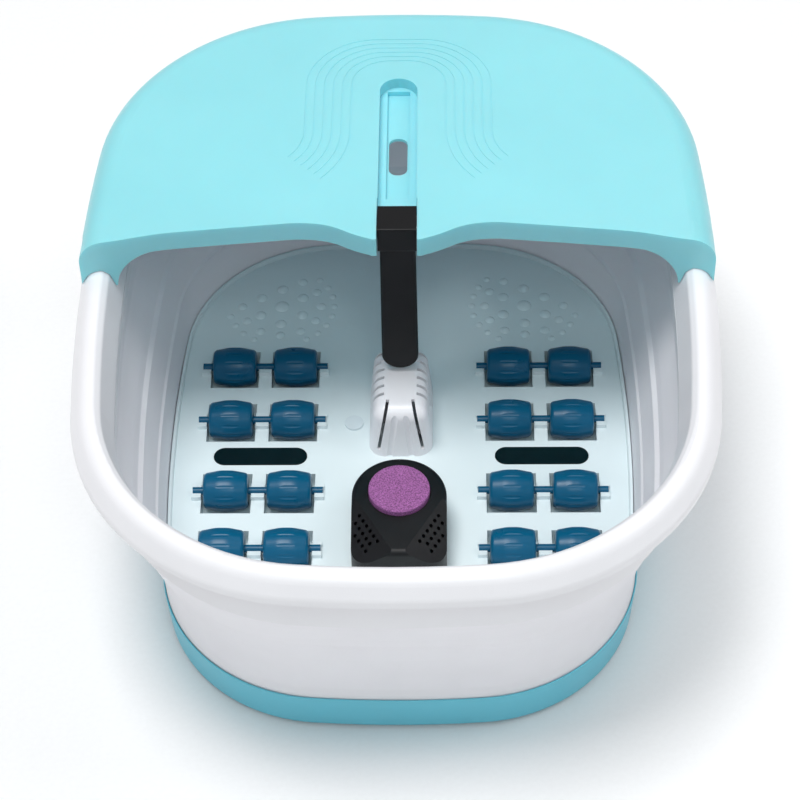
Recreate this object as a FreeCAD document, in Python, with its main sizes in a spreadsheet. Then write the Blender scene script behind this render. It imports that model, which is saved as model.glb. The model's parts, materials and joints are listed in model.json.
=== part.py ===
import FreeCAD, Part
import math
import os
import Sketcher
from FreeCAD import Placement, Rotation, Vector

# Foot spa basin. Millimetres, +Z up, the user sits on the -Y side.
# The origin is on the floor under the middle of the basin.

doc = FreeCAD.newDocument("foot_spa_basin")

# --------------------------------------------------------------- the size sheet
SIZES = {
    # plan outline of the base: an oval of bowed sides, bowed ends and round corners
    "base_half_x": 156, "base_half_y": 198.3,
    "side_bow": 1150, "end_bow": 720, "corner_bow": 106,
    # heights
    "foot_high": 2.5, "cover_thick": 2.5, "ring_top": 32, "pan_top": 40, "pan_thick": 3,
    "wall_foot": 30.3, "neck_low": 138, "lip_low": 181, "rim_top": 200,
    "hood_low": 180, "hood_top": 225,
    # offsets from the base outline
    "ring_flare": 2, "rim_out": 44.5, "rim_in": 19, "hood_out": 43, "skin": 2.2,
    # massage rollers
    "bar_mid": 94.4, "roller_gap": 21, "roller_rad": 14, "roller_end_rad": 11.6,
    "roller_wide": 29.4, "axle_rad": 2.6, "axle_half": 43, "axle_high": 42.8,
    "row_a": 73.8, "row_b": 24.6, "row_c": -38.2, "row_d": -87.2,
    "well_x": 33, "well_y": 34, "well_floor": 27.3, "fit_gap": 0.06,
    # light windows
    "window_long": 62.5, "window_wide": 15, "window_y": -5.7,
    # massage nubs
    "nub_x": 85.8, "nub_y": 135, "nub_ring_a": 17, "nub_ring_b": 28, "nub_ring_c": 37,
    "nub_rad_mid": 7.4, "nub_rad_a": 5.7, "nub_rad_b": 4.8, "nub_rad_c": 3.5,
    # vented centre housing
    "house_half_low": 21.4, "house_back": 62, "house_front": -6, "house_top": 80,
    "house_wall": 2.2, "house_taper": 5.5,
    # herb box and pumice
    "box_half": 30.7, "box_mid_y": -67.3, "box_front": -117, "box_low": 40.3, "box_top": 75,
    "facet_slope": 35, "facet_skin": 2.2,
    "pumice_rad": 20, "pumice_y": -66.5, "pumice_top": 79, "pumice_low": 70.3,
    # support arm and its hinge
    "arm_axis_y": 32, "arm_axis_z": 215.3, "head_y": 23.5, "head_z": 19.3, "head_wide": 24.6,
    "arm_wide": 22.8, "arm_thick": 7.6, "arm_setback": 1.9, "arm_tip": 83.5, "arm_tip_wide": 24.2, "pin_rad": 2,
    "notch_half": 12.7, "stow_end": 164.6, "stow_floor": 217,
    # ripples on the hood
    "ripple_half": 31.5, "ripple_bend": 25, "ripple_shoulder": 158, "ripple_foot": 112,
    "ripple_curl": 95, "ripple_wide": 1.1, "ripple_deep": 0.4,
    # drain
    "drain_x": -32, "drain_y": 23.3, "drain_rad": 5,
    # rear fittings
    "fitting_x": 22, "fitting_z": 18,
}

sheet = doc.addObject("Spreadsheet::Sheet", "Sizes")
for row, (alias, number) in enumerate(SIZES.items(), start=1):
    sheet.set(f"A{row}", alias)
    sheet.set(f"B{row}", str(number))
    sheet.setAlias(f"B{row}", alias)
doc.recompute()


class Size:
    """A length with the formula on the sheet that gives it."""

    def __init__(self, number, formula):
        self.number = float(number)
        self.formula = formula

    def join(self, other, sign, number):
        other = as_size(other)
        return Size(number(self.number, other.number), f"({self.formula} {sign} {other.formula})")

    def __add__(self, other):
        return self.join(other, "+", lambda a, b: a + b)

    def __sub__(self, other):
        return self.join(other, "-", lambda a, b: a - b)

    def __mul__(self, other):
        return self.join(other, "*", lambda a, b: a * b)

    def __truediv__(self, other):
        return self.join(other, "/", lambda a, b: a / b)

    def __radd__(self, other):
        return as_size(other) + self

    def __rsub__(self, other):
        return as_size(other) - self

    def __rmul__(self, other):
        return as_size(other) * self

    def __neg__(self):
        return as_size(0) - self


def as_size(value):
    return value if isinstance(value, Size) else Size(value, f"{float(value):.6f}")


class Sheet:
    """Reads a named length of the sheet as a Size."""

    def __getattr__(self, alias):
        return Size(sheet.get(alias), f"{sheet.Name}.{alias}")


S = Sheet()


def bind(thing, prop, value):
    thing.setExpression(prop, as_size(value).formula)


# ------------------------------------------------------------- sketch helpers
def new_body(label):
    body = doc.addObject("PartDesign::Body", "Body")
    body.Label = label
    return body


def plane_of(body, role):
    return next(f for f in body.Origin.OriginFeatures if f.Role == role)


def new_sketch(body, role, lift=0):
    sketch = body.newObject("Sketcher::SketchObject", "Sketch")
    sketch.AttachmentSupport = [(plane_of(body, role), "")]
    sketch.MapMode = "FlatFace"
    sketch.AttachmentOffset = Placement(Vector(0, 0, as_size(lift).number), Rotation())
    bind(sketch, "AttachmentOffset.Base.z", lift)
    return sketch


def datum(sketch, kind, *args):
    """Adds a dimension bound to its formula; the last argument is the Size."""
    size = as_size(args[-1])
    number = sketch.addConstraint(Sketcher.Constraint(kind, *args[:-1], size.number))
    name = f"d{number}"
    sketch.renameConstraint(number, name)
    sketch.setExpression(f"Constraints.{name}", size.formula)


def flat(u, v):
    return Vector(u, v, 0)


def corner_points(before, at, after, radius):
    """Where a fillet at a corner starts, its middle, and where it ends."""
    to_before = (before - at).normalize()
    to_after = (after - at).normalize()
    half = to_before.getAngle(to_after) / 2
    run = radius / math.tan(half)
    middle_way = (to_before + to_after).normalize()
    centre = at + middle_way * (radius / math.sin(half))
    return at + to_before * run, centre - middle_way * radius, at + to_after * run


def add_loop(sketch, corners):
    """A closed loop of straight sides. Each corner is (u, v) or (u, v, fillet radius)."""
    sizes = [tuple(as_size(c) for c in corner) for corner in corners]
    spots = [flat(c[0].number, c[1].number) for c in sizes]
    total = len(spots)
    ends = []
    for i, size in enumerate(sizes):
        radius = size[2].number if len(size) > 2 else 0
        if radius:
            ends.append(corner_points(spots[i - 1], spots[i], spots[(i + 1) % total], radius))
        else:
            ends.append((spots[i], None, spots[i]))
    lines = [
        sketch.addGeometry(Part.LineSegment(ends[i][2], ends[(i + 1) % total][0]), False)
        for i in range(total)
    ]
    for i, size in enumerate(sizes):
        came, goes = lines[i - 1], lines[i]
        if ends[i][1] is None:
            sketch.addConstraint(Sketcher.Constraint("Coincident", came, 2, goes, 1))
            datum(sketch, "DistanceX", -1, 1, goes, 1, size[0])
            datum(sketch, "DistanceY", -1, 1, goes, 1, size[1])
            continue
        arc = sketch.addGeometry(Part.Arc(*ends[i]), False)
        # Part.Arc always runs anticlockwise in a sketch, so its ends may be swapped
        swapped = (sketch.getPoint(arc, 1) - ends[i][0]).Length > 1e-6
        first, last = (2, 1) if swapped else (1, 2)
        sketch.addConstraint(Sketcher.Constraint("Tangent", came, 2, arc, first))
        sketch.addConstraint(Sketcher.Constraint("Tangent", arc, last, goes, 1))
        datum(sketch, "Radius", arc, size[2])
        tip = sketch.addGeometry(Part.Point(spots[i]), True)
        sketch.addConstraint(Sketcher.Constraint("PointOnObject", tip, 1, came))
        sketch.addConstraint(Sketcher.Constraint("PointOnObject", tip, 1, goes))
        datum(sketch, "DistanceX", -1, 1, tip, 1, size[0])
        datum(sketch, "DistanceY", -1, 1, tip, 1, size[1])


def add_circle(sketch, u, v, radius):
    u, v, radius = as_size(u), as_size(v), as_size(radius)
    circle = Part.Circle(flat(u.number, v.number), Vector(0, 0, 1), radius.number)
    number = sketch.addGeometry(circle, False)
    datum(sketch, "DistanceX", -1, 1, number, 3, u)
    datum(sketch, "DistanceY", -1, 1, number, 3, v)
    datum(sketch, "Radius", number, radius)


def corner_centre(offset):
    """Centre of the round corner of the oval; it is the same for every offset."""
    to_side = SIZES["side_bow"] - SIZES["corner_bow"]
    to_end = SIZES["end_bow"] - SIZES["corner_bow"]
    side = SIZES["base_half_x"] - SIZES["side_bow"]
    end = SIZES["base_half_y"] - SIZES["end_bow"]
    # two circles about (side, 0) and (0, end) meet at the corner's centre
    span = math.hypot(side, end)
    along = (to_side ** 2 - to_end ** 2 + span ** 2) / (2 * span)
    across = math.sqrt(to_side ** 2 - along ** 2)
    ux, uy = -side / span, end / span
    return side + along * ux - across * uy, along * uy + across * ux


def add_oval(sketch, offset):
    """The base outline pushed out by offset: bowed sides and ends with round corners."""
    offset = as_size(offset)
    side, end, corner = S.side_bow + offset, S.end_bow + offset, S.corner_bow + offset
    side_mid, end_mid = S.base_half_x - S.side_bow, S.base_half_y - S.end_bow
    cx, cy = corner_centre(offset.number)
    to_side = math.atan2(cy, cx - side_mid.number)
    to_end = math.atan2(cy - end_mid.number, cx)
    quarter = math.pi / 2
    arcs = []
    for turn in range(4):
        flip_x = 1 if turn in (0, 3) else -1
        flip_y = 1 if turn in (0, 1) else -1
        start, stop = [(to_side, to_end), (math.pi - to_end, math.pi - to_side),
                       (math.pi + to_side, math.pi + to_end), (-to_end, -to_side)][turn]
        circle = Part.Circle(flat(flip_x * cx, flip_y * cy), Vector(0, 0, 1), corner.number)
        arcs.append(Part.ArcOfCircle(circle, start, stop))
        mid = (0, end_mid.number * flip_y) if turn in (0, 2) else (side_mid.number * flip_x, 0)
        reach = end.number if turn in (0, 2) else side.number
        low = to_end if turn in (0, 2) else to_side
        circle = Part.Circle(flat(*mid), Vector(0, 0, 1), reach)
        if turn == 0:
            # the back end starts and stops at its middle, where sections are drawn
            arcs.append(Part.ArcOfCircle(circle, low, quarter))
            arcs.append(Part.ArcOfCircle(circle, quarter, math.pi - low))
        elif turn == 1:
            arcs.append(Part.ArcOfCircle(circle, math.pi - low, math.pi + low))
        elif turn == 2:
            arcs.append(Part.ArcOfCircle(circle, math.pi + low, 2 * math.pi - low))
        else:
            arcs.append(Part.ArcOfCircle(circle, -low, low))
    # order: corner, back, back, corner, left, corner, front, corner, right
    # the loop is turned so that it starts at the middle of the back
    order = arcs[2:] + arcs[:2]
    made = [sketch.addGeometry(arc, False) for arc in order]
    for i, number in enumerate(made):
        nxt = made[(i + 1) % len(made)]
        if i + 1 == len(made):
            sketch.addConstraint(Sketcher.Constraint("Coincident", number, 2, nxt, 1))
        else:
            sketch.addConstraint(Sketcher.Constraint("Tangent", number, 2, nxt, 1))
    back_left, corner_bl, left, corner_fl, front, corner_fr, right, corner_br, back_right = made
    sketch.addConstraint(Sketcher.Constraint("Coincident", back_left, 3, back_right, 3))
    sketch.addConstraint(Sketcher.Constraint("PointOnObject", back_left, 1, -2))
    for number in (back_left, front):
        sketch.addConstraint(Sketcher.Constraint("PointOnObject", number, 3, -2))
        datum(sketch, "Radius", number, end)
    for number in (left, right):
        sketch.addConstraint(Sketcher.Constraint("PointOnObject", number, 3, -1))
        datum(sketch, "Radius", number, side)
    for number in (corner_bl, corner_fl, corner_fr, corner_br):
        datum(sketch, "Radius", number, corner)
    datum(sketch, "DistanceY", -1, 1, back_left, 3, end_mid)
    datum(sketch, "DistanceY", -1, 1, front, 3, -end_mid)
    datum(sketch, "DistanceX", -1, 1, right, 3, side_mid)
    datum(sketch, "DistanceX", -1, 1, left, 3, -side_mid)


# ------------------------------------------------------------- solid helpers
def pad(body, sketch, length, both_ways=False):
    feature = body.newObject("PartDesign::Pad", "Pad")
    feature.Profile = sketch
    feature.Length = as_size(length).number
    bind(feature, "Length", length)
    feature.Midplane = both_ways
    return feature


def pocket(body, sketch, length, reversed_way=False, both_ways=False):
    feature = body.newObject("PartDesign::Pocket", "Pocket")
    feature.Profile = sketch
    feature.Length = as_size(length).number
    bind(feature, "Length", length)
    feature.Reversed = reversed_way
    feature.Midplane = both_ways
    return feature


def fillet(body, base, edges, radius):
    feature = body.newObject("PartDesign::Fillet", "Fillet")
    feature.Base = (base, edges)
    feature.Radius = as_size(radius).number
    bind(feature, "Radius", radius)
    return feature


def edges_where(feature, test):
    doc.recompute()
    return [f"Edge{i}" for i, edge in enumerate(feature.Shape.Edges, start=1) if test(edge)]


def flat_at(z):
    """True for an edge that lies wholly at height z."""
    z = as_size(z).number
    return lambda edge: abs(edge.BoundBox.ZMin - z) < 1e-4 and abs(edge.BoundBox.ZMax - z) < 1e-4


def ring(label, section):
    """A section of (offset from the base outline, height[, fillet]) swept round the basin."""
    body = new_body(label)
    spine = new_sketch(body, "XY_Plane")
    add_oval(spine, 0)
    profile = new_sketch(body, "YZ_Plane")
    add_loop(profile, [(S.base_half_y + corner[0], *corner[1:]) for corner in section])
    pipe = body.newObject("PartDesign::AdditivePipe", "Pipe")
    pipe.Profile = profile
    pipe.Spine = (spine, [])
    pipe.Mode = "Standard"
    return body


def slab(label, offset, low, high, top_fillet=0):
    """The oval outline at an offset, from one height to another."""
    body = new_body(label)
    sketch = new_sketch(body, "XY_Plane", low)
    add_oval(sketch, offset)
    feature = pad(body, sketch, as_size(high) - low)
    if as_size(top_fillet).number:
        fillet(body, feature, edges_where(feature, flat_at(high)), top_fillet)
    return body


def prism(label, corners, low, high, top_fillet=0):
    """A loop in plan, from one height to another."""
    body = new_body(label)
    sketch = new_sketch(body, "XY_Plane", low)
    add_loop(sketch, corners)
    feature = pad(body, sketch, as_size(high) - low)
    if as_size(top_fillet).number:
        fillet(body, feature, edges_where(feature, flat_at(high)), top_fillet)
    return body


def place(thing, x, y, z, rotation=None):
    x, y, z = as_size(x), as_size(y), as_size(z)
    thing.Placement = Placement(Vector(x.number, y.number, z.number), rotation or Rotation())
    for axis, size in (("x", x), ("y", y), ("z", z)):
        thing.setExpression(f"Placement.Base.{axis}", size.formula)
    return thing


def box(x0, x1, y0, y1, z0, z1, label="box"):
    thing = doc.addObject("Part::Box", "Box")
    thing.Label = label
    for prop, low, high in (("Length", x0, x1), ("Width", y0, y1), ("Height", z0, z1)):
        bind(thing, prop, as_size(high) - low)
    return place(thing, x0, y0, z0)


ALONG_X = Rotation(Vector(0, 1, 0), 90)
ALONG_Y = Rotation(Vector(1, 0, 0), -90)


def rod(x, y, z, radius, length, way=None, label="rod"):
    """A cylinder that starts at a point and runs up, or along the way given."""
    thing = doc.addObject("Part::Cylinder", "Cylinder")
    thing.Label = label
    bind(thing, "Radius", radius)
    bind(thing, "Height", length)
    return place(thing, x, y, z, way)


def ball(x, y, z, radius):
    thing = doc.addObject("Part::Sphere", "Sphere")
    bind(thing, "Radius", radius)
    return place(thing, x, y, z)


def join(things, label="join"):
    thing = doc.addObject("Part::MultiFuse", "Join")
    thing.Shapes = things
    thing.Label = label
    return thing


def group(things, label):
    """Identical loose solids that share one node."""
    thing = doc.addObject("Part::Compound", "Group")
    thing.Links = things
    thing.Label = label
    return thing


def cut(base, tools, label="cut"):
    thing = doc.addObject("Part::Cut", "Cut")
    thing.Base = base
    thing.Tool = tools[0] if len(tools) == 1 else join(tools)
    thing.Label = label
    return thing


def common(one, other, label="common"):
    thing = doc.addObject("Part::Common", "Common")
    thing.Base = one
    thing.Tool = other
    thing.Label = label
    return thing


def stadium(x, y, length, width, low, high):
    """A slot-shaped prism, long in x, with round ends."""
    x, y, half, rad = as_size(x), as_size(y), as_size(length) / 2, as_size(width) / 2
    corners = [(x - half, y - rad, rad * 0.999), (x + half, y - rad, rad * 0.999),
               (x + half, y + rad, rad * 0.999), (x - half, y + rad, rad * 0.999)]
    return prism("stadium", corners, low, high)


NODES = {}


def node(thing, name=None):
    if name:
        thing.Label = name
    NODES[thing.Label] = thing
    return thing


SIDES = (("left", -1), ("right", 1))
ROWS = (S.row_a, S.row_b, S.row_c, S.row_d)

# ------------------------------------------------------------------- the base
COVER_TOP = S.foot_high + S.cover_thick
ring_solid = ring("base_ring_wall", [
    (0, S.foot_high, 2), (S.ring_flare, S.ring_top, 0.8), (1.2, S.ring_top),
    (1.0, S.ring_top - 2), (-5, S.ring_top - 2), (-5, S.ring_top - 4.5),
    (0.7, S.ring_top - 4.5), (-2.6, S.foot_high)])
rear_holes = [box(S.fitting_x * sign - 13, S.fitting_x * sign + 13, 187, 215,
                  S.fitting_z - 9, S.fitting_z + 9) for _, sign in SIDES]
node(cut(ring_solid, rear_holes, "base_ring"))

FEET = [(x, y) for x in (-112, 112) for y in (-140, 140)]
node(group([rod(x, y, 0, 9, S.foot_high) for x, y in FEET], "rubber_feet"))

SCREWS = [(-133, -116), (133, -116), (-133, 116), (133, 116), (0, 90), (0, -165)]
screw_bores = [rod(x, y, 0, 1.8, 10) for x, y in SCREWS]
screw_seats = [rod(x, y, 0, 3.9, S.foot_high + 1.5) for x, y in SCREWS]
air_slots = [box(-20 + 7 * i, -17 + 7 * i, -150, -118, 0, 10) for i in range(6)]
drain_pass = rod(S.drain_x, S.drain_y, 0, 8.2, 10)
cover_plate = slab("cover_plate", -2.9, S.foot_high, COVER_TOP)
node(cut(cover_plate, screw_bores + screw_seats + air_slots + [drain_pass], "bottom_cover"))
node(group([
    join([rod(x, y, S.foot_high + 0.1, 3.5, 1.4), rod(x, y, S.foot_high + 0.1, 1.5, 14)])
    for x, y in SCREWS], "cover_screws"))

# -------------------------------------------------------------- the floor pan
PAN_LOW = S.pan_top - S.pan_thick
pan_solids = [slab("pan_plate", -1.5, PAN_LOW, S.pan_top)]
pan_solids.append(ring("pan_skirt", [
    (-3.8, S.ring_top - 1.8), (-1.5, S.ring_top - 1.8), (-1.5, PAN_LOW + 1), (-3.8, PAN_LOW + 1)]))
pan_cuts = []
for x, y in SCREWS:
    pan_solids.append(rod(x, y, COVER_TOP + 0.1, 4, PAN_LOW - COVER_TOP))
    pan_cuts.append(rod(x, y, 0, 1.6, 20))
for _, side in SIDES:
    for row in ROWS:
        for inner in (-1, 1):
            x = side * S.bar_mid + inner * S.roller_gap
            half_x, half_y = S.well_x / 2, S.well_y / 2
            pan_solids.append(box(x - half_x - 1.4, x + half_x + 1.4, row - half_y - 1.4,
                                  row + half_y + 1.4, S.well_floor - 1.8, PAN_LOW + 1))
            pan_cuts.append(box(x - half_x, x + half_x, row - half_y, row + half_y,
                                S.well_floor, S.pan_top + 5))
    pan_cuts.append(stadium(side * S.bar_mid, S.window_y, S.window_long + 0.5,
                            S.window_wide + 0.5, PAN_LOW - 1, S.pan_top + 1))

NUB_SINK = 0.7
for _, side in SIDES:
    mid_x = side * S.nub_x
    pan_solids.append(ball(mid_x, S.nub_y, S.pan_top - NUB_SINK * S.nub_rad_mid, S.nub_rad_mid))
    # angles are measured from the inner side, anticlockwise seen on the right-hand cluster
    rings = (
        (S.nub_ring_a, S.nub_rad_a, range(30, 390, 60)),
        (S.nub_ring_b, S.nub_rad_b, [a for a in range(0, 360, 30) if a not in (90, 120, 150)]),
        (S.nub_ring_c, S.nub_rad_c, [-60, -45, -30, -15, 0, 15, 30, 45, 195, 210, 225, 240]),
    )
    for far, rad, angles in rings:
        for angle in angles:
            turn = math.radians(angle)
            pan_solids.append(ball(mid_x - side * far * math.cos(turn),
                                   S.nub_y + far * math.sin(turn),
                                   S.pan_top - NUB_SINK * rad, rad))

pan_cuts.append(rod(S.drain_x, S.drain_y, 20, S.drain_rad, 30))
pan_cuts.append(rod(0, 6, 20, 3.1, 30))
pan_cuts.append(rod(0, 54, 20, 5, 30))
pan_cuts.append(rod(14, 6, 20, 2.6, 30))
HOUSE_SCREWS = [(-9.5, 45), (9.5, 45)]
pan_cuts += [rod(x, y, 20, 1.7, 30) for x, y in HOUSE_SCREWS]
node(cut(join(pan_solids), pan_cuts, "floor_pan"))

node(ring("lower_clamp_ring", [
    (-4.4, S.pan_top), (-1.6, S.pan_top), (-1.6, S.pan_top + 3, 0.8), (-3.8, S.pan_top + 3, 1)]))

# ------------------------------------------------------------ the folding wall
node(ring("fold_wall", [
    (0.8, S.wall_foot), (0.8, 42, 8), (2.6, 60, 10), (5.2, 78, 10), (9.4, 95, 3), (10.2, 100, 1.2),
    (13, 103.5, 1.6), (15.2, 112, 6), (20, 127, 6), (23.2, 138.5, 3), (23.2, 172), (21.2, 172),
    (21.2, 139, 3), (18.1, 127.8, 6), (13.3, 113, 6), (11.3, 105.2, 1.6), (8.3, 101.6, 1.2),
    (7.4, 96, 3), (3.2, 79, 10), (0.6, 61, 10), (-1.3, 42.6, 8), (-1.3, S.wall_foot)]))

# --------------------------------------------------------------------- the rim
node(ring("rim_frame", [
    (S.rim_in, 174, 0.6), (25.5, 196, 5), (29.5, S.rim_top, 4), (37, S.rim_top, 10),
    (S.rim_out, 187, 7), (S.rim_out - 0.2, S.lip_low, 0.8), (S.rim_out - 2.7, S.lip_low, 0.8),
    (S.rim_out - 2.9, 186.5, 5), (36, 196.8, 7), (28.5, 196.6, 2.5), (25.6, 190, 3),
    (25.5, S.neck_low, 0.5), (23.4, S.neck_low, 0.5), (23.4, 180.5), (21.1, 174, 0.6)]))
node(ring("upper_clamp_ring", [(19.3, 161, 0.5), (21.1, 161), (21.1, 172), (19.3, 172)]))

# -------------------------------------------------------------------- the hood
FRONT = [(15, 12, 0), (26, 16, 60), (42, 25, 45), (60, 27.5, 70), (104, 23, 100), (149, 18, 150),
         (178, 11, 150), (215, 6, 0)]


def front_region(label, shift, ahead):
    """Plan area ahead of the hood's front edge, or behind it, moved back by shift."""
    bends = [(x, y + shift, r) for x, y, r in FRONT]
    left = [(-x, y, r) for x, y, r in bends]
    far = -300 if ahead else 300
    loop = [(-230, far), (230, far)] if ahead else [(230, far), (-230, far)]
    edge = [(230, 6 + shift)] + bends[::-1] + left + [(-230, 6 + shift)]
    return prism(label, loop + (edge if ahead else edge[::-1]), 150, 250)


hood_block = slab("hood_block", S.hood_out, S.hood_low, S.hood_top, 16)
hood_hollow = slab("hood_hollow", S.hood_out - S.skin, S.hood_low - 5, S.hood_top - 2.4, 14)
hood_mouth = slab("hood_mouth", 21, S.hood_low - 9, S.hood_top - 14.5, 25)
rim_room = ring("rim_room", [
    (18.4, 165), (18.4, 174), (25, 196.4, 5), (29.3, S.rim_top + 0.5, 4),
    (37.3, S.rim_top + 0.5, 10.5), (45, 187.2, 7.4), (45, 165)])
leg_end = slab("leg_end", 24.8, 150, 186.5)
rear_hollow = common(hood_hollow, front_region("behind_lip", 4, False))
hood_skin = cut(hood_block, [front_region("ahead", 0, True), hood_mouth, rim_room, leg_end,
                             rear_hollow], "hood_skin")
tub_front = box(-16.6, 16.6, 13, 53.5, 209.5, S.hood_top - 1)
tub_back = prism("tub_back", [
    (-14.8, 50), (14.8, 50), (14.8, S.stow_end + 2.4, 14.7), (-14.8, S.stow_end + 2.4, 14.7)],
    S.stow_floor - 6, S.hood_top - 1)
notch = box(-S.notch_half, S.notch_half, -20, 49.5, 180, 250)
stow = prism("stow_recess", [
    (-12.4, 49), (12.4, 49), (12.4, S.stow_end, 12.35), (-12.4, S.stow_end, 12.35)],
    S.stow_floor, 240)
channel = box(-7.4, 7.4, 57, S.stow_end - 4.1, S.stow_floor - 3.7, 240)
finger_hole = prism("finger_hole", [
    (-6, 83, 5.5), (6, 83, 5.5), (6, 118, 5.5), (-6, 118, 5.5)], 190, 250)
pin_bore = rod(-30, S.arm_axis_y, S.arm_axis_z, S.pin_rad, 60, ALONG_X)


def ripple_wedge(side, radius, high):
    """A slice of a disc about the point that the foot of every ripple curls round."""
    disc = doc.addObject("Part::Cylinder", "Cylinder")
    for prop, size in (("Radius", radius), ("Height", high), ("Angle", 44)):
        bind(disc, prop, size)
    return place(disc, side * S.ripple_curl, S.ripple_foot, S.hood_top - S.ripple_deep,
                 Rotation(Vector(0, 0, 1), 180 if side > 0 else -44))


ripples = []
for i in range(6):
    # six shallow grooves, nested round the stowed arm, whose feet curl outwards
    hoops = []
    for inset, drop in ((0, 0), (S.ripple_wide, 3)):
        half = S.ripple_half + 5.95 * i - inset
        bend = S.ripple_bend + 4.4 * i - inset
        top = S.ripple_shoulder + bend
        hoops.append(prism("ripple_hoop", [
            (-half, S.ripple_foot - drop), (half, S.ripple_foot - drop), (half, top, bend),
            (-half, top, bend)], S.hood_top - S.ripple_deep, S.hood_top + 2))
    ripples.append(cut(hoops[0], [hoops[1]]))
    curl = S.ripple_curl - S.ripple_half - 5.95 * i
    for _, side in SIDES:
        ripples.append(cut(ripple_wedge(side, curl + S.ripple_wide, 3),
                           [ripple_wedge(side, curl, 3)]))
node(cut(join([hood_skin, tub_front, tub_back]),
         [notch, stow, channel, finger_hole, pin_bore] + ripples, "hood_shell"))
node(rod(-16.6, S.arm_axis_y, S.arm_axis_z, S.pin_rad, 33.2, ALONG_X, "arm_hinge_pin"))

# ------------------------------------------------------------- the support arm
arm = new_body("support_arm")
y0, z0 = S.arm_axis_y - S.head_y / 2, S.arm_axis_z - S.head_z / 2
# a sketch on the XZ plane looks along +Y, so its lift is towards -Y
half, tip_half = S.arm_wide / 2, S.arm_tip_wide / 2
blade_lift = -(S.arm_axis_y + S.arm_setback + S.arm_thick)
blade = new_sketch(arm, "XZ_Plane", blade_lift)
add_loop(blade, [(-half, z0 + 2), (-tip_half, S.arm_tip + tip_half),
                 (tip_half, S.arm_tip + tip_half), (half, z0 + 2)])
pad(arm, blade, S.arm_thick)
round_end = new_sketch(arm, "XZ_Plane", blade_lift)
add_circle(round_end, 0, S.arm_tip + tip_half, tip_half)
blade_pad = pad(arm, round_end, S.arm_thick)
tip_edges = edges_where(blade_pad, lambda e: e.BoundBox.ZMax < S.arm_tip.number + 12.2
                        and e.BoundBox.YLength < 0.01)
fillet(arm, blade_pad, tip_edges, 1.8)
head = new_sketch(arm, "YZ_Plane")
add_loop(head, [(y0, z0, 1.5), (y0 + S.head_y, z0, 3), (y0 + S.head_y, z0 + S.head_z, 3),
                (y0, z0 + S.head_z, 1.2)])
pad(arm, head, S.head_wide, both_ways=True)
arm_bore = new_sketch(arm, "YZ_Plane")
add_circle(arm_bore, S.arm_axis_y, S.arm_axis_z, S.pin_rad + S.fit_gap)
pocket(arm, arm_bore, 60, both_ways=True)
node(arm)

# ---------------------------------------------------------- the centre housing
def housing_block(label, shrink, low, high, top_round):
    """The tapered, round-cornered tower, smaller all round by shrink."""
    body = new_body(label)
    sketch = new_sketch(body, "XY_Plane", low)
    half_x = S.house_half_low - shrink
    front, back = S.house_front + shrink, S.house_back - shrink
    add_loop(sketch, [(-half_x, front, 11 - shrink), (half_x, front, 11 - shrink),
                      (half_x, back, 11 - shrink), (-half_x, back, 11 - shrink)])
    feature = pad(body, sketch, as_size(high) - low)
    bind(feature, "TaperAngle", -S.house_taper)
    fillet(body, feature, edges_where(feature, flat_at(high)), top_round)
    return body


outer_house = housing_block("house_outer", 0, S.pan_top, S.house_top, 10)
inner_house = housing_block("house_inner", S.house_wall, S.pan_top - 1, S.house_top - 2.6, 7.8)
side_vents = []
for i in range(6):
    y = 13.5 + 7.4 * i
    for _, side in SIDES:
        x0, x1 = (10.8, 30) if side > 0 else (-30, -10.8)
        side_vents.append(box(x0, x1, y, y + 2.5, 57, 90))


def leaning(thing, x, y, z, turn, lean):
    """Stands a thing on a point, leaned towards the middle and then turned in plan."""
    way = Rotation(Vector(0, 0, 1), turn) * Rotation(Vector(0, 1, 0), lean)
    return place(thing, x, y, z, way)


front_vents, front_flutes = [], []
for _, side in SIDES:
    slot = doc.addObject("Part::Box", "Box")
    for prop, size in (("Length", 2.1), ("Width", 21), ("Height", 44)):
        bind(slot, prop, size)
    front_vents.append(leaning(slot, side * 15.6 - 1.05, S.house_front - 5, 45.5, side * 6,
                               -side * 8.5))
    flute = doc.addObject("Part::Cylinder", "Cylinder")
    bind(flute, "Radius", 2.6)
    bind(flute, "Height", 44)
    way = Rotation(Vector(0, 0, 1), Vector(-side * 0.11, 0.096, 0.99))
    front_flutes.append(place(flute, side * 7.6, S.house_front - 1.5, S.pan_top - 1, way))
house_posts = [rod(x, y, S.pan_top, 3.6, 38.5) for x, y in HOUSE_SCREWS]
house_shell = cut(outer_house, [inner_house] + side_vents + front_vents + front_flutes)
house_bores = [rod(x, y, S.pan_top - 1, 1.6, 16) for x, y in HOUSE_SCREWS]
node(cut(join([house_shell] + house_posts), house_bores, "centre_housing"))
node(group([
    join([rod(x, y, PAN_LOW - 2, 3, 2), rod(x, y, PAN_LOW - 2, 1.5, 16)])
    for x, y in HOUSE_SCREWS], "housing_screws"))

fins = [box(-13 + 4.2 * i, -12 + 4.2 * i, 14, 40, 50, 64) for i in range(7)]
heater_case = box(-13, 14, 14, 40, 46, 51)
heater_legs = [box(-13, 14, 14, 18, S.pan_top, 47)]
heater_legs.append(box(-9, 9, 50, 52, 44, 50))
heater_tail = box(-3, 3, 39, 56, 46, 49)
tail_leg = rod(0, 54, 30, 2.2, 17)
node(join([heater_case, heater_tail, tail_leg, heater_legs[0]] + fins, "heater_element"))
node(cut(join([rod(0, 54, 33, 7, 3.8), rod(0, 54, 33, 4.8, 9)]), [rod(0, 54, 20, 2.4, 40)],
         "heater_gland"))
probe_rod = join([rod(14, 6, 33, 2.4, 19), rod(14, 6, 33, 4, 3.8)])
node(probe_rod, "temp_probe")

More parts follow.
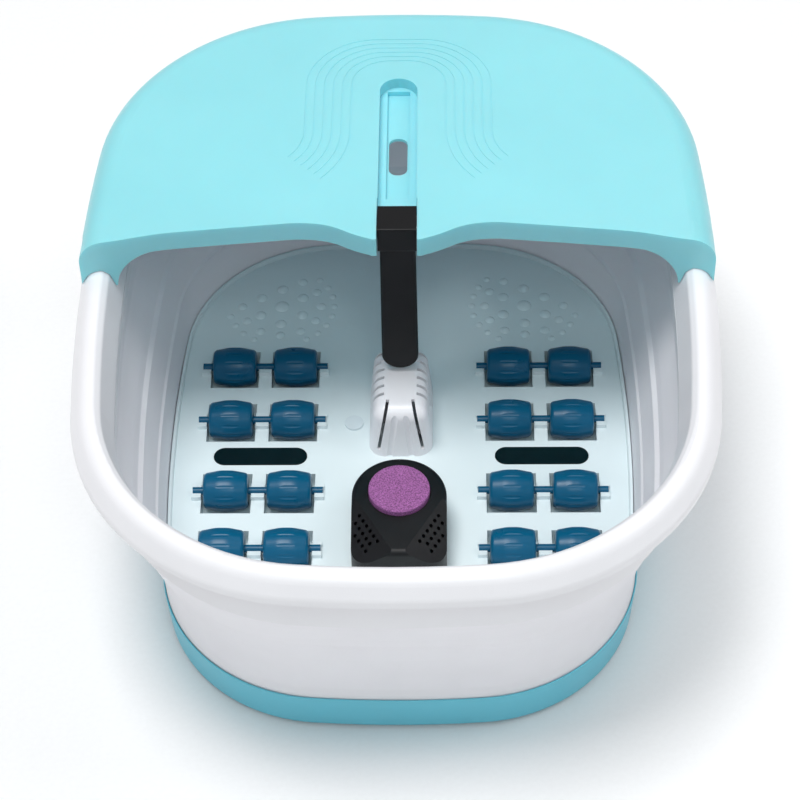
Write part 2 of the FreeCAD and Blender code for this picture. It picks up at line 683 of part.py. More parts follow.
# ------------------------------------------------------------------- air supply
pump_case = prism("pump_case", [(-24, -112, 6), (24, -112, 6), (24, -50, 6), (-24, -50, 6)],
                  COVER_TOP + 2, 26, 2)
pump_feet = [rod(x, y, COVER_TOP, 4, 2.5) for x in (-17, 17) for y in (-105, -57)]
pump_nose = rod(0, -50.5, 16, 2.4, 12, ALONG_Y)
node(join([pump_case, pump_nose] + pump_feet, "air_pump"))

hose = new_body("air_hose")
route = new_sketch(hose, "YZ_Plane")
first = route.addGeometry(Part.LineSegment(flat(-48, 16), flat(-8, 16)), False)
bend_circle = Part.Circle(flat(-8, 30), Vector(0, 0, 1), 14)
bend = route.addGeometry(Part.ArcOfCircle(bend_circle, 1.5 * math.pi, 2 * math.pi), False)
last = route.addGeometry(Part.LineSegment(flat(6, 30), flat(6, 34)), False)
route.addConstraint(Sketcher.Constraint("Tangent", first, 2, bend, 1))
route.addConstraint(Sketcher.Constraint("Tangent", bend, 2, last, 1))
route.addConstraint(Sketcher.Constraint("Horizontal", first))
datum(route, "Radius", bend, 14)
datum(route, "DistanceX", -1, 1, first, 1, -48)
datum(route, "DistanceY", -1, 1, first, 1, 16)
datum(route, "DistanceX", -1, 1, last, 2, 6)
datum(route, "DistanceY", -1, 1, last, 2, 34)
hose_end = new_sketch(hose, "XZ_Plane", 48)
add_circle(hose_end, 0, 16, 4)
add_circle(hose_end, 0, 16, 2.5)
hose_pipe = hose.newObject("PartDesign::AdditivePipe", "Pipe")
hose_pipe.Profile = hose_end
hose_pipe.Spine = (route, [])
node(hose)
outlet = join([rod(0, 6, 30.4, 2.4, 11), rod(0, 6, S.pan_top, 5.5, 4)])
node(cut(outlet, [rod(0, 6, 20, 1.4, 30)], "air_outlet"))

# ------------------------------------------------------- control and rear fittings
board_parts = [box(-45, 45, 105, 160, 9, 10.6)]
board_parts += [rod(x, y, COVER_TOP, 3, 4.5) for x in (-40, 40) for y in (110, 155)]
board_parts += [box(-38, -18, 125, 150, 10, 25), box(0, 16, 128, 148, 10, 22),
                box(22, 38, 122, 150, 10, 20)]
board_parts += [rod(-8, 140, 10, 5, 14), rod(8, 115, 10, 4, 9), rod(-30, 114, 10, 4, 9)]
node(join(board_parts, "control_board"))

inlet_body = box(-S.fitting_x - 12.8, -S.fitting_x + 12.8, 179.3, 202.9,
                 S.fitting_z - 8.8, S.fitting_z + 8.8)
inlet_well = prism("inlet_well", [
    (-S.fitting_x - 8, 190.3), (-S.fitting_x + 8, 190.3), (-S.fitting_x + 8, 215),
    (-S.fitting_x - 8, 215)], S.fitting_z - 4, S.fitting_z + 4)
inlet_pins = [rod(-S.fitting_x + dx, 189.3, S.fitting_z, 1.2, 11, ALONG_Y) for dx in (-4, 4)]
node(join([cut(inlet_body, [inlet_well])] + inlet_pins, "power_inlet"))

bezel_body = box(S.fitting_x - 12.8, S.fitting_x + 12.8, 181.3, 202.9,
                 S.fitting_z - 8.8, S.fitting_z + 8.8)
bezel_well = box(S.fitting_x - 9.5, S.fitting_x + 9.5, 187.3, 215,
                 S.fitting_z - 6.9, S.fitting_z + 6.9)
rocker_axis_y = 198.3
axle_bore = rod(S.fitting_x - 12, rocker_axis_y, S.fitting_z, 1.3, 24, ALONG_X)
node(cut(bezel_body, [bezel_well, axle_bore], "switch_bezel"))
rocker = new_body("power_rocker")
rocker_side = new_sketch(rocker, "YZ_Plane", S.fitting_x)
add_loop(rocker_side, [
    (rocker_axis_y - 5.5, S.fitting_z - 3.5, 1), (rocker_axis_y + 3.6, S.fitting_z - 6, 0.8),
    (rocker_axis_y + 3, S.fitting_z), (rocker_axis_y + 5.2, S.fitting_z + 6, 0.8),
    (rocker_axis_y - 5.5, S.fitting_z + 3.5, 1)])
pad(rocker, rocker_side, 18.4, both_ways=True)
rocker_axle = new_sketch(rocker, "YZ_Plane", S.fitting_x)
add_circle(rocker_axle, rocker_axis_y, S.fitting_z, 1.3 - S.fit_gap)
pad(rocker, rocker_axle, 23.6, both_ways=True)
node(rocker)

# --------------------------------------------------------------------- drain
drain_outer = rod(S.drain_x, S.drain_y, S.foot_high, 8, PAN_LOW - S.foot_high)
node(cut(drain_outer, [rod(S.drain_x, S.drain_y, 0, S.drain_rad, 60)], "drain_tube"))
node(join([rod(S.drain_x, S.drain_y, 31, S.drain_rad - 0.08, 9.4),
           rod(S.drain_x, S.drain_y, S.pan_top + 0.05, 6.3, 1.6)], "drain_plug"))

# ------------------------------------------------------------ light windows
for name, side in SIDES:
    lens = stadium(side * S.bar_mid, S.window_y, S.window_long, S.window_wide,
                   PAN_LOW - 1, S.pan_top + 0.3)
    flange = stadium(side * S.bar_mid, S.window_y, S.window_long + 5, S.window_wide + 2.4,
                     PAN_LOW - 2, PAN_LOW)
    node(join([lens, flange], f"light_window_{name}"))
    x = side * S.bar_mid
    board = [box(x - 29, x + 29, S.window_y - 7, S.window_y + 7, 22, 23.6)]
    board += [rod(x + dx, S.window_y, 23, 1.6, PAN_LOW - 25) for dx in (-27, 27)]
    board += [rod(x + dx, S.window_y, 23, 2.5, 7) for dx in (-20, -10, 0, 10, 20)]
    node(join(board, f"light_board_{name}"))

# ----------------------------------------------------------- massage rollers
clips = []
number = 0
for name, side in SIDES:
    for row in ROWS:
        number += 1
        mid = side * S.bar_mid
        bar = new_body(f"roller_bar_{number}")
        shape = new_sketch(bar, "XZ_Plane")
        gap, wide, rad = S.roller_gap, S.roller_wide / 2, S.roller_rad
        half_profile = [(-S.axle_half, 0), (-S.axle_half, S.axle_rad)]
        for way in (-1, 1):
            at = way * gap
            half_profile += [(at - wide, S.axle_rad), (at - wide, S.roller_end_rad, 2.8),
                             (at - wide * 0.28, rad - 0.4, 28), (at + wide * 0.28, rad - 0.4, 28),
                             (at + wide, S.roller_end_rad, 2.8), (at + wide, S.axle_rad)]
        half_profile += [(S.axle_half, S.axle_rad), (S.axle_half, 0)]
        add_loop(shape, half_profile)
        turned = bar.newObject("PartDesign::Revolution", "Revolution")
        turned.Profile = shape
        turned.ReferenceAxis = (shape, ["H_Axis"])
        turned.Angle = 360
        groove = new_sketch(bar, "YZ_Plane")
        add_circle(groove, S.roller_rad + 1.5, 0, 2.3)
        flute = pocket(bar, groove, S.axle_half * 2 - 12, both_ways=True)
        flutes = bar.newObject("PartDesign::PolarPattern", "PolarPattern")
        flutes.Originals = [flute]
        flutes.Axis = (shape, ["H_Axis"])
        flutes.Angle = 360
        flutes.Occurrences = 12
        bar.Tip = flutes
        place(bar, mid, row, S.axle_high)
        node(bar)
        for shift, half in ((-40.7, 3.1), (0, 4.4), (40.7, 3.1)):
            x = mid + shift
            block = box(x - half, x + half, row - 6, row + 6, S.pan_top, S.axle_high + 0.6)
            hole = rod(x - 6, row, S.axle_high, S.axle_rad + S.fit_gap, 12, ALONG_X)
            clips.append(cut(block, [hole]))
node(group(clips, "roller_clips"))

# --------------------------------------------------------------- the herb box
def box_plan(shrink):
    half, front = S.box_half - shrink, S.box_front + shrink
    back = S.box_mid_y + half
    return [(-half, back, half * 0.995), (-half, front, 14 - shrink), (half, front, 14 - shrink),
            (half, back, half * 0.995)]


# each front corner is cut by a facet that falls away from a ridge across the top
RIDGE_WAY = math.atan2(-34, 19.2)


def facet_frame(side):
    """The ridge's direction, the facet's downhill direction and its normal, for one side."""
    slope = math.radians(S.facet_slope.number)
    along = Vector(-side * math.cos(RIDGE_WAY), math.sin(RIDGE_WAY), 0)
    out = Vector(-side * math.sin(RIDGE_WAY), -math.cos(RIDGE_WAY), 0)
    down = out * math.cos(slope) - Vector(0, 0, 1) * math.sin(slope)
    normal = out * math.sin(slope) + Vector(0, 0, 1) * math.cos(slope)
    return along, down, normal


def facet_block(side, sink):
    along, down, normal = facet_frame(side)
    thing = doc.addObject("Part::Box", "Box")
    for prop, size in (("Length", 110), ("Width", 60), ("Height", 40)):
        bind(thing, prop, size)
    # a box fills the +X, +Y, +Z corner of its own frame
    x_way = along if along.cross(down).dot(normal) > 0 else -along
    start = Vector(side * 27.5, -73, S.box_top.number) - normal * sink - down * (0 if not sink else 3)
    start = start - x_way * (35 if x_way == along else 75)
    matrix = FreeCAD.Matrix(x_way.x, down.x, normal.x, 0, x_way.y, down.y, normal.y, 0,
                            x_way.z, down.z, normal.z, 0, 0, 0, 0, 1)
    return place(thing, start.x, start.y, start.z, Rotation(matrix))


box_outer = cut(prism("box_outer", box_plan(0), S.box_low, S.box_top, 4),
                [facet_block(side, 0) for _, side in SIDES], "box_faceted")
box_inner = cut(prism("box_inner", box_plan(2.2), S.box_low - 1, S.box_top - 7),
                [facet_block(side, S.facet_skin.number) for _, side in SIDES], "box_room")
seat = rod(0, S.pumice_y, S.pumice_low - 0.1, S.pumice_rad + 0.4, 10)
mesh_holes = []
for _, side in SIDES:
    along, down, normal = facet_frame(side)
    way = Rotation(Vector(0, 0, 1), normal)
    for line, (fall, first, count) in enumerate(((4.5, 11, 6), (9.5, 13.2, 5), (14.5, 20, 4))):
        for hole in range(count):
            spot = (Vector(side * 27.5, -73, S.box_top.number) + along * (first + 4.8 * hole)
                    + down * fall - normal * 5)
            mesh_holes.append(rod(spot.x, spot.y, spot.z, 1.3, 9, way))
node(cut(box_outer, [box_inner, seat] + mesh_holes, "herb_box"))
node(prism("herb_box_base", box_plan(2.4), S.box_low, S.box_low + 2))
stone = new_body("pumice_stone")
stone_round = new_sketch(stone, "XY_Plane", S.pumice_low)
add_circle(stone_round, 0, S.pumice_y, S.pumice_rad)
stone_pad = pad(stone, stone_round, S.pumice_top - S.pumice_low)
fillet(stone, stone_pad, edges_where(stone_pad, flat_at(S.pumice_top)), 2.5)
node(stone)

# ------------------------------------------------------------ check and write
doc.recompute()
problems = [f"{o.Label}: {o.State}" for o in doc.Objects
            if any(word in o.State for word in ("Invalid", "Error"))]
for name, thing in NODES.items():
    shape = thing.Shape
    if shape.isNull() or not shape.isValid() or not shape.Solids:
        problems.append(f"{name}: bad shape")
if problems:
    raise RuntimeError("; ".join(problems))

os.makedirs("parts", exist_ok=True)
for name, thing in NODES.items():
    thing.Shape.exportStep(f"parts/{name}.step")
    print(f"{name}: {len(thing.Shape.Solids)} solid(s), {thing.Shape.Volume / 1000:.2f} cm3")
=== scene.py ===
import bpy
import json
import math
from mathutils import Matrix, Vector, noise


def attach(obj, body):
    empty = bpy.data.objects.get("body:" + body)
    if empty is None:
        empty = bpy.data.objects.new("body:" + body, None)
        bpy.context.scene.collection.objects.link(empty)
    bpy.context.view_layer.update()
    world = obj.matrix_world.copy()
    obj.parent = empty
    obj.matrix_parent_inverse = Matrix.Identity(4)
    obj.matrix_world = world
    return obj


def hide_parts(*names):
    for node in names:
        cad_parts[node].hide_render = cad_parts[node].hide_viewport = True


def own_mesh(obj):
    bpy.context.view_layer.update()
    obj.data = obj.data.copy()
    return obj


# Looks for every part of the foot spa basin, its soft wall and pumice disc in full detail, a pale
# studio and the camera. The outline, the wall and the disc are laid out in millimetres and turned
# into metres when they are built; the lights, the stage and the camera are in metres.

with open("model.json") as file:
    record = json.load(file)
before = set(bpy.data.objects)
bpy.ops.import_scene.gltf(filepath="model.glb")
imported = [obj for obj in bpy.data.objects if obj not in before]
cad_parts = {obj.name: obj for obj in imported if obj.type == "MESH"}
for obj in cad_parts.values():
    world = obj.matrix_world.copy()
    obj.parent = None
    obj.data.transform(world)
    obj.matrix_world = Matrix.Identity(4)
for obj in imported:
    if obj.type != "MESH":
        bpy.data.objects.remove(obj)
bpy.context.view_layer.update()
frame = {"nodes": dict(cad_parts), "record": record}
NODES = frame["nodes"]
scene = bpy.context.scene
scene.view_settings.view_transform = "Standard"


# ------------------------------------------------------------------ materials
MIX_COLOURS = (6, 7)      # the Mix node's two colour inputs
MIX_RESULT = 2            # and its colour output


def srgb(r, g, b):
    """A colour given as 0-255 screen values, as the linear colour the shader wants."""
    def linear(c):
        c /= 255
        return c / 12.92 if c <= 0.04045 else ((c + 0.055) / 1.055) ** 2.4
    return (linear(r), linear(g), linear(b), 1.0)


def shade(colour, factor):
    """A colour made darker or lighter."""
    return tuple(c * factor for c in colour[:3]) + (1.0,)


class Graph:
    """A short way to lay out a node material."""

    def __init__(self, name):
        self.material = bpy.data.materials.new(name)
        self.material.use_nodes = True
        self.tree = self.material.node_tree
        self.tree.nodes.clear()
        self.out = self.add("ShaderNodeOutputMaterial")
        self.shader = self.add("ShaderNodeBsdfPrincipled")
        self.link(self.shader, "BSDF", self.out, "Surface")
        self.coords = self.add("ShaderNodeTexCoord")

    def add(self, kind, **values):
        """A node whose inputs, or else settings, take the given values."""
        node = self.tree.nodes.new(kind)
        for key, value in values.items():
            if key in node.inputs:
                node.inputs[key].default_value = value
            else:
                setattr(node, key, value)
        return node

    def link(self, source, output, target, socket):
        self.tree.links.new(source.outputs[output], target.inputs[socket])

    def texture(self, kind, scale, **values):
        """A texture laid out in the object's own coordinates."""
        node = self.add(kind, Scale=scale, **values)
        self.link(self.coords, "Object", node, "Vector")
        return node

    def ramp(self, source, output, stops):
        """Maps a grey value through (position, value or colour) stops."""
        node = self.add("ShaderNodeValToRGB")
        ramp = node.color_ramp
        while len(ramp.elements) < len(stops):
            ramp.elements.new(0.5)
        for element, (position, value) in zip(ramp.elements, stops):
            element.position = position
            element.color = value if isinstance(value, tuple) else (value, value, value, 1)
        self.link(source, output, node, "Fac")
        return node

    def mix(self, factor, one, two):
        """Two colours, each a value or a (node, output) pair, blended by a ramp's grey."""
        node = self.add("ShaderNodeMix", data_type="RGBA", blend_type="MIX")
        self.link(factor, "Color", node, 0)
        for index, value in zip(MIX_COLOURS, (one, two)):
            if isinstance(value[0], float):
                node.inputs[index].default_value = value
            else:
                self.link(*value, node, index)
        return node

    def bump(self, source, output, strength, distance):
        node = self.add("ShaderNodeBump", Strength=strength, Distance=distance)
        self.link(source, output, node, "Height")
        self.link(node, "Normal", self.shader, "Normal")

    def set(self, **values):
        """Values on the shader's own sockets, with _ for a space in a name."""
        for key, value in values.items():
            self.shader.inputs[key.replace("_", " ")].default_value = value


def moulded(name, colour, rough, grain=0.00012, grain_scale=1400, coat=0.0, sub=0.0,
            mottle=0.04, gloss=0.5, depth=(0.004, 0.004, 0.004)):
    """Moulded plastic: fine mould texture, faint colour drift, finger-worn gloss.

    grain is the depth of the mould texture, sub how much light goes under the surface and depth
    how far the red, green and blue of it go."""
    g = Graph(name)
    drift = g.texture("ShaderNodeTexNoise", 14, Detail=3.0)
    tone = g.ramp(drift, "Fac", [(0.3, shade(colour, 1 - mottle)), (0.7, colour)])
    g.link(tone, "Color", g.shader, "Base Color")
    wear = g.texture("ShaderNodeTexNoise", 55, Detail=4.0)
    worn = g.ramp(wear, "Fac", [(0.25, rough * 0.85), (0.75, min(1.0, rough * 1.2))])
    g.link(worn, "Color", g.shader, "Roughness")
    fine = g.texture("ShaderNodeTexNoise", grain_scale, Detail=2.0)
    g.bump(fine, "Fac", 0.35, grain)
    g.set(IOR=1.5, Specular_IOR_Level=gloss, Coat_Weight=coat, Coat_Roughness=0.12)
    if sub:
        g.set(Subsurface_Weight=sub, Subsurface_Radius=depth, Subsurface_Scale=1.0)
    return g.material


def soft_wall(name, colour):
    """Soft moulded elastomer with faint handling smudges."""
    g = Graph(name)
    cloud = g.texture("ShaderNodeTexNoise", 9, Detail=6.0, Roughness=0.62, Distortion=0.6)
    spot = g.ramp(cloud, "Fac", [(0.66, 0.0), (0.80, 0.22)])
    drift = g.texture("ShaderNodeTexNoise", 22, Detail=2.0)
    tone = g.ramp(drift, "Fac", [(0.3, shade(colour, 0.965)), (0.7, colour)])
    smudged = g.mix(spot, (tone, "Color"), shade(colour, 0.72))
    g.link(smudged, MIX_RESULT, g.shader, "Base Color")
    g.set(Roughness=0.5, IOR=1.46, Subsurface_Weight=0.12, Subsurface_Scale=1.0,
          Subsurface_Radius=(0.006, 0.005, 0.006))
    fine = g.texture("ShaderNodeTexNoise", 500, Detail=3.0)
    g.bump(fine, "Fac", 0.25, 0.0002)
    return g.material


def metal(name, colour, rough):
    """Bare metal with a fine, uneven polish."""
    g = Graph(name)
    brushed = g.texture("ShaderNodeTexNoise", 900, Detail=2.0)
    gloss = g.ramp(brushed, "Fac", [(0.3, rough * 0.7), (0.7, rough * 1.3)])
    g.link(gloss, "Color", g.shader, "Roughness")
    g.set(Base_Color=colour, Metallic=1.0)
    g.bump(brushed, "Fac", 0.1, 0.0001)
    return g.material


def pumice(name, colour):
    """Porous stone: open pores with painted shade darkening them, pale grit and dark flecks."""
    g = Graph(name)
    grit = g.texture("ShaderNodeTexNoise", 1100, Detail=5.0, Roughness=0.7)
    speck = g.ramp(grit, "Fac", [(0.34, shade(colour, 0.45)), (0.5, colour),
                                 (0.68, shade(colour, 1.7))])
    pore = g.texture("ShaderNodeTexVoronoi", 620)
    # Pore mask: drives the pore bump and the painted shade in the pits.
    pore_bump_and_painted_shade = g.ramp(pore, "Distance", [(0.08, 0.0), (0.28, 1.0)])
    # Painted shade: the pores are painted at half the stone's colour, standing in for the shadow
    # inside them.
    colour_with_painted_pore_shade = g.mix(pore_bump_and_painted_shade, shade(colour, 0.5), (speck, "Color"))
    g.link(colour_with_painted_pore_shade, MIX_RESULT, g.shader, "Base Color")
    g.set(Roughness=0.95, IOR=1.4)
    g.bump(pore_bump_and_painted_shade, "Color", 0.7, 0.0004)
    return g.material


WHITE = srgb(248, 247, 251)
LOOKS = {
    "base_aqua": moulded("base_plastic_aqua", srgb(108, 206, 228), 0.38, coat=0.1, sub=0.05),
    "hood_aqua": moulded("hood_plastic_aqua", srgb(150, 227, 240), 0.36, coat=0.1, sub=0.4,
                         depth=(0.003, 0.008, 0.010)),
    "rim_white": moulded("rim_plastic_white", WHITE, 0.34, coat=0.15, sub=0.08),
    "housing_white": moulded("tower_plastic_white", WHITE, 0.32, coat=0.15, sub=0.05),
    "pan_white": moulded("pan_plastic_white", srgb(236, 248, 251), 0.36, coat=0.1, sub=0.06),
    "plug_white": moulded("plug_plastic_white", srgb(226, 238, 243), 0.4),
    "cover_grey": moulded("cover_plastic_grey", srgb(200, 202, 206), 0.5, mottle=0.06),
    "wall_soft": soft_wall("wall_elastomer", srgb(249, 247, 252)),
    "arm_black": moulded("arm_plastic_black", srgb(5, 5, 9), 0.46, mottle=0.2, gloss=0.3),
    "box_black": moulded("box_plastic_black", srgb(7, 7, 11), 0.42, mottle=0.2, gloss=0.35),
    "window_black": moulded("window_plastic_dark", srgb(5, 7, 10), 0.2, grain=0.00002,
                            mottle=0.3),
    "roller_teal": moulded("roller_plastic_teal", srgb(0, 90, 126), 0.3, grain=0.00004,
                           mottle=0.12, gloss=0.3),
    "fitting_black": moulded("fitting_plastic_black", srgb(26, 26, 28), 0.45),
    "rocker_black": moulded("rocker_plastic_black", srgb(18, 18, 20), 0.3, coat=0.2),
    "pump_grey": moulded("pump_plastic_grey", srgb(70, 72, 76), 0.5),
    "foot_rubber": moulded("foot_rubber_black", srgb(34, 34, 36), 0.8, grain=0.0003,
                           grain_scale=700),
    "gland_rubber": moulded("gland_rubber_black", srgb(30, 30, 32), 0.75, grain=0.0003),
    "hose_clear": moulded("hose_silicone", srgb(205, 210, 205), 0.3, sub=0.3),
    "board_green": moulded("board_laminate_green", srgb(24, 92, 58), 0.4, grain=0.0001),
    "pumice_purple": pumice("pumice_stone_purple", srgb(152, 94, 150)),
    "pin_steel": metal("pin_steel_turned", (0.56, 0.56, 0.57, 1), 0.25),
    "screw_steel": metal("screw_steel_zinc", (0.6, 0.6, 0.6, 1), 0.3),
    "probe_steel": metal("probe_steel_drawn", (0.55, 0.55, 0.56, 1), 0.22),
    "heater_metal": metal("heater_aluminium", (0.72, 0.72, 0.73, 1), 0.4),
}
SLOT_OF = {s["node"]: s["material_slot"] for s in frame["record"]["subparts"]}
for name, obj in NODES.items():
    obj.data.materials.clear()
    obj.data.materials.append(LOOKS[SLOT_OF[name]])


# --------------------------------------------------------- the basin's outline
MM = 0.001
# Half width and half length of the base, and the radii of its side, end and corner arcs.
HALF_X, HALF_Y, SIDE_BOW, END_BOW, CORNER = 156, 198.3, 1150, 720, 106
SIDE_STEPS, END_STEPS, CORNER_STEPS = 40, 36, 36


def corner_centre():
    """The centre of the +x +y corner arc, which runs smoothly into the side and end arcs."""
    side, end = HALF_X - SIDE_BOW, HALF_Y - END_BOW
    to_side, to_end = SIDE_BOW - CORNER, END_BOW - CORNER
    span = math.hypot(side, end)
    along = (to_side ** 2 - to_end ** 2 + span ** 2) / (2 * span)
    across = math.sqrt(to_side ** 2 - along ** 2)
    ux, uy = -side / span, end / span
    return side + along * ux - across * uy, along * uy + across * ux


def outline():
    """Points round the base outline as (centre x, centre y, radius, angle), anticlockwise."""
    cx, cy = corner_centre()
    a = math.atan2(cy, cx - (HALF_X - SIDE_BOW))
    b = math.atan2(cy - (HALF_Y - END_BOW), cx)
    pi = math.pi
    arcs = [(HALF_X - SIDE_BOW, 0, SIDE_BOW, -a, a, SIDE_STEPS),
            (cx, cy, CORNER, a, b, CORNER_STEPS),
            (0, HALF_Y - END_BOW, END_BOW, b, pi - b, END_STEPS),
            (-cx, cy, CORNER, pi - b, pi - a, CORNER_STEPS),
            (SIDE_BOW - HALF_X, 0, SIDE_BOW, pi - a, pi + a, SIDE_STEPS),
            (-cx, -cy, CORNER, pi + a, pi + b, CORNER_STEPS),
            (0, END_BOW - HALF_Y, END_BOW, pi + b, 2 * pi - b, END_STEPS),
            (cx, -cy, CORNER, -b, -a, CORNER_STEPS)]
    points = []
    for x, y, radius, start, stop, count in arcs:
        points += [(x, y, radius, start + (stop - start) * i / count) for i in range(count)]
    return points


def at_offset(point, offset, z):
    """A point of the outline moved outwards by offset, at height z, in metres."""
    x, y, radius, angle = point
    reach = radius + offset
    return Vector((x + reach * math.cos(angle), y + reach * math.sin(angle), z)) * MM


def new_object(name, vertices, faces, look):
    """A smooth-shaded mesh object with one look, which also names its material slot."""
    mesh = bpy.data.meshes.new(name)
    mesh.from_pydata(vertices, [], faces)
    mesh.validate()
    mesh.update()
    obj = bpy.data.objects.new(name, mesh)
    scene.collection.objects.link(obj)
    obj.data.materials.append(LOOKS[look])
    for polygon in mesh.polygons:
        polygon.use_smooth = True
    return obj


ARC_STEPS = 5             # pieces in each rounded corner of a section
LONGEST_CUT = 0.45        # the share of an edge that a rounded corner may take


def rounded(section):
    """A closed (offset, height, radius) section with its corners turned into short arcs."""
    out = []
    total = len(section)
    for i in range(total):
        before, here, after = (Vector(section[(i + k) % total][:2]) for k in (-1, 0, 1))
        radius = section[i][2]
        one, two = (before - here).normalized(), (after - here).normalized()
        half = one.angle(two) / 2
        run = min(radius / math.tan(half), LONGEST_CUT * (before - here).length,
                  LONGEST_CUT * (after - here).length)
        start, stop = here + one * run, here + two * run
        for k in range(ARC_STEPS + 1):
            t = k / ARC_STEPS
            out.append(start * (1 - t) ** 2 + here * 2 * t * (1 - t) + stop * t ** 2)
    return out


WANDER_PER_METRE = 14     # how fast a soft wall's wander changes along the outline
WANDER_PER_MM_UP = 0.05   # and with height


def swept(name, section, look, wander):
    """A section swept round the outline; the wall wanders in and out by up to wander."""
    ring = rounded(section)
    points = outline()
    verts, faces = [], []
    for point in points:
        for offset, z in ring:
            spot = at_offset(point, offset, z)
            push = noise.noise(Vector((spot.x * WANDER_PER_METRE, spot.y * WANDER_PER_METRE,
                                       z * WANDER_PER_MM_UP))) * wander
            verts.append(at_offset(point, offset + push, z))
    rows, cols = len(points), len(ring)
    for i in range(rows):
        for j in range(cols):
            a, b = i * cols + j, i * cols + (j + 1) % cols
            c, d = ((i + 1) % rows) * cols + (j + 1) % cols, ((i + 1) % rows) * cols + j
            faces.append((a, b, c, d))
    return new_object(name, verts, faces, look)


# ------------------------------------------------------------ the folding wall
# Corners as (offset from the outline, height, radius).
WALL_OUTSIDE = [
    (0.6, 30.4, 0.3), (0.6, 42, 8), (2.4, 60, 10), (5.0, 78, 10), (9.2, 95, 3), (10.1, 100.1, 1.2),
    (12.9, 103.6, 1.6), (15.0, 112, 6), (19.8, 127, 6), (23.0, 138.6, 3), (23.0, 171.9, 0.3)]
WALL_INSIDE = [           # from the top down, with a crease between 76 and 70.5 mm
    (21.4, 171.9, 0.3), (21.4, 138.8, 3), (18.3, 127.7, 6), (13.5, 112.9, 6), (11.5, 105.0, 1.6),
    (8.5, 101.4, 1.2), (7.6, 95.9, 3), (3.9, 80.5, 6), (2.9, 76, 1), (1.2, 73.6, 0.9),
    (1.9, 70.5, 1), (0.8, 60.9, 8), (-1.1, 42.5, 8), (-1.1, 30.4, 0.3)]
wall = swept("folding_wall", WALL_OUTSIDE + WALL_INSIDE, "wall_soft", wander=0.25)
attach(wall, "base")
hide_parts("fold_wall")
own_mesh(wall)


# ------------------------------------------------------------------ pumice disc
BIG_PORES, SMALL_PORES, WEAR = 0.62, 1.35, 0.35     # cells or waves to a millimetre
SMALL_SHIFT = 31          # so that the small pores don't line up with the big ones


def pit(x, y, z):
    """How deep the stone's surface is eaten away at a spot, all in millimetres."""
    coarse = noise.voronoi(Vector((x, y, z)) * BIG_PORES)[0][0]
    fine = noise.voronoi(Vector((x + SMALL_SHIFT, y, z)) * SMALL_PORES)[0][0]
    wear = 0.5 + 0.5 * noise.noise(Vector((x, y, z)) * WEAR)
    return 0.75 * max(0.0, 0.42 - coarse) + 0.45 * max(0.0, 0.36 - fine) + 0.16 * wear


TURN_STEPS = 220
TOP_RINGS, EDGE_RINGS, SIDE_RINGS, BOTTOM_RINGS = 44, 6, 14, 8


def pitted_disc(name, centre, radius, low, high, round_off, look):
    """A disc with a rounded top edge whose faces are pitted inwards only.

    The profile's rows are (radius, height, (share of the pit outwards, share upwards))."""
    top_run = radius - round_off
    profile = [(top_run * (i / TOP_RINGS), high, (0, 1)) for i in range(TOP_RINGS + 1)]
    for i in range(1, EDGE_RINGS + 1):
        t = math.pi / 2 * i / EDGE_RINGS
        profile.append((top_run + round_off * math.sin(t), high - round_off * (1 - math.cos(t)),
                        (math.sin(t), math.cos(t))))
    profile += [(radius, high - round_off - (high - low - round_off) * i / SIDE_RINGS, (1, 0))
                for i in range(1, SIDE_RINGS + 1)]
    profile += [(radius * (1 - i / BOTTOM_RINGS), low, (0, 0)) for i in range(1, BOTTOM_RINGS + 1)]
    verts, faces = [], []
    for r, z, (out, up) in profile:
        for k in range(TURN_STEPS):
            a = 2 * math.pi * k / TURN_STEPS
            deep = pit(r * math.cos(a), r * math.sin(a), z) if out or up else 0.0
            reach = max(0.0, r - out * deep)
            verts.append(Vector((centre[0] + reach * math.cos(a), centre[1] + reach * math.sin(a),
                                 z - up * deep)) * MM)
    for i in range(len(profile) - 1):
        for k in range(TURN_STEPS):
            row, after, n = i * TURN_STEPS, (i + 1) * TURN_STEPS, (k + 1) % TURN_STEPS
            faces.append((row + k, after + k, after + n, row + n))
    return new_object(name, verts, faces, look)


stone = pitted_disc("pumice_disc", centre=(0, -66.5), radius=19.95, low=70.35, high=78.95,
                    round_off=1.2, look="pumice_purple")
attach(stone, "pumice")
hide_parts("pumice_stone")


# --------------------------------------------------------------- stage and light
FLOOR_HALF = 6            # from the middle to each edge
WORLD_STRENGTH = 0.3

floor_mesh = bpy.data.meshes.new("studio_floor")
floor_mesh.from_pydata([(-FLOOR_HALF, -FLOOR_HALF, 0), (FLOOR_HALF, -FLOOR_HALF, 0),
                        (FLOOR_HALF, FLOOR_HALF, 0), (-FLOOR_HALF, FLOOR_HALF, 0)], [],
                       [(0, 1, 2, 3)])
floor = bpy.data.objects.new("studio_floor", floor_mesh)
scene.collection.objects.link(floor)
paper = Graph("paper_floor")
fibre = paper.texture("ShaderNodeTexNoise", 300, Detail=3.0)
tint = paper.ramp(fibre, "Fac", [(0.3, (0.95, 0.95, 0.955, 1)), (0.7, (0.975, 0.975, 0.98, 1))])
paper.link(tint, "Color", paper.shader, "Base Color")
paper.set(Roughness=0.9)
floor.data.materials.append(paper.material)

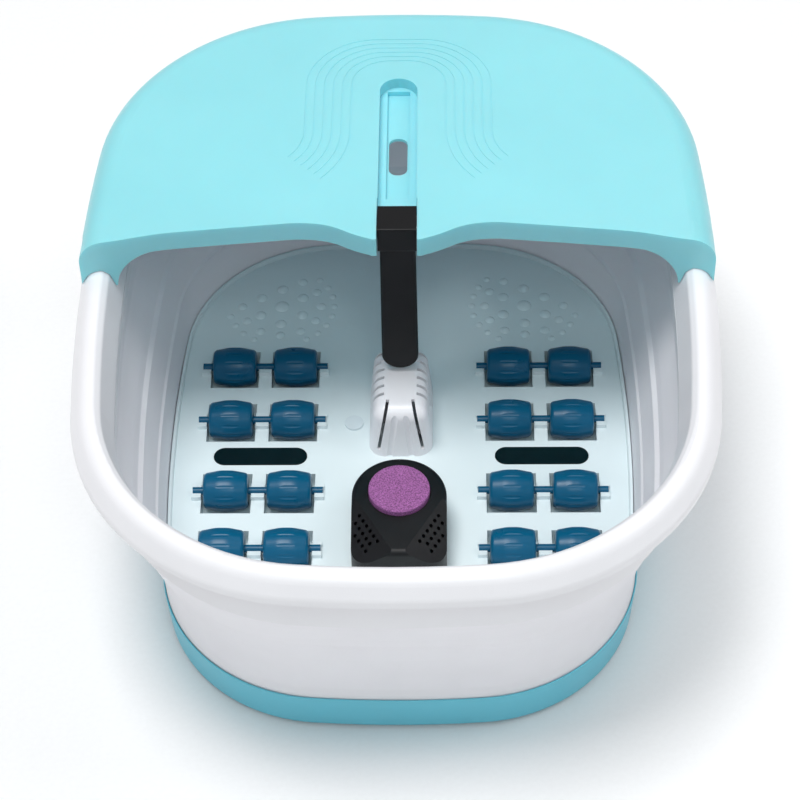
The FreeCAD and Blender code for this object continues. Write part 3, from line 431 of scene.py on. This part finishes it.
world = bpy.data.worlds.new("studio_world")
scene.world = world
world.use_nodes = True
background = world.node_tree.nodes["Background"]
background.inputs["Color"].default_value = (1.0, 1.0, 1.0, 1)
background.inputs["Strength"].default_value = WORLD_STRENGTH


def area_light(name, place, target, size, power, colour=(1, 1, 1)):
    """A soft rectangular light at place that faces target; power is in watts."""
    data = bpy.data.lights.new(name, "AREA")
    data.shape = "RECTANGLE"
    data.size, data.size_y = size
    data.energy = power
    data.color = colour
    light = bpy.data.objects.new(name, data)
    light.location = place
    light.rotation_euler = (Vector(target) - Vector(place)).to_track_quat("-Z", "Y").to_euler()
    scene.collection.objects.link(light)


area_light("key_light", (-0.7, -0.25, 4.0), (0, 0, 0.1), (1.6, 1.4), 94)
area_light("fill_light", (0.1, -1.6, 2.3), (0, 0.15, 0.1), (0.9, 0.7), 10, (0.82, 0.97, 1.0))
area_light("back_light", (0.8, 1.8, 2.8), (0, 0, 0.2), (1.6, 1.0), 8)
area_light("side_light", (2.2, 0.2, 2.6), (0.8, 0, 0), (1.4, 1.4), 16)


# ---------------------------------------------------------------------- camera
# Tilt is the angle down from level, yaw the turn from straight along +y, roll the lean to a side.
TILT, YAW, ROLL = math.radians(47.77), math.radians(-1.63), math.radians(-1.415)
CAMERA_PLACE = (0.03124, -1.09337, 1.29470)
SENSOR_MM, LENS_MM = 36, 111.33

forward = Vector((math.sin(YAW) * math.cos(TILT), math.cos(YAW) * math.cos(TILT),
                  -math.sin(TILT)))
level = Vector((math.cos(YAW), -math.sin(YAW), 0))
upward = level.cross(forward)
right = level * math.cos(ROLL) + upward * math.sin(ROLL)
top = upward * math.cos(ROLL) - level * math.sin(ROLL)
camera_data = bpy.data.cameras.new("camera")
camera_data.sensor_width = SENSOR_MM
camera_data.lens = LENS_MM
camera = bpy.data.objects.new("camera", camera_data)
camera.matrix_world = Matrix([
    (right[i], top[i], -forward[i], CAMERA_PLACE[i]) for i in range(3)] + [(0, 0, 0, 1)])
scene.collection.objects.link(camera)
scene.camera = camera
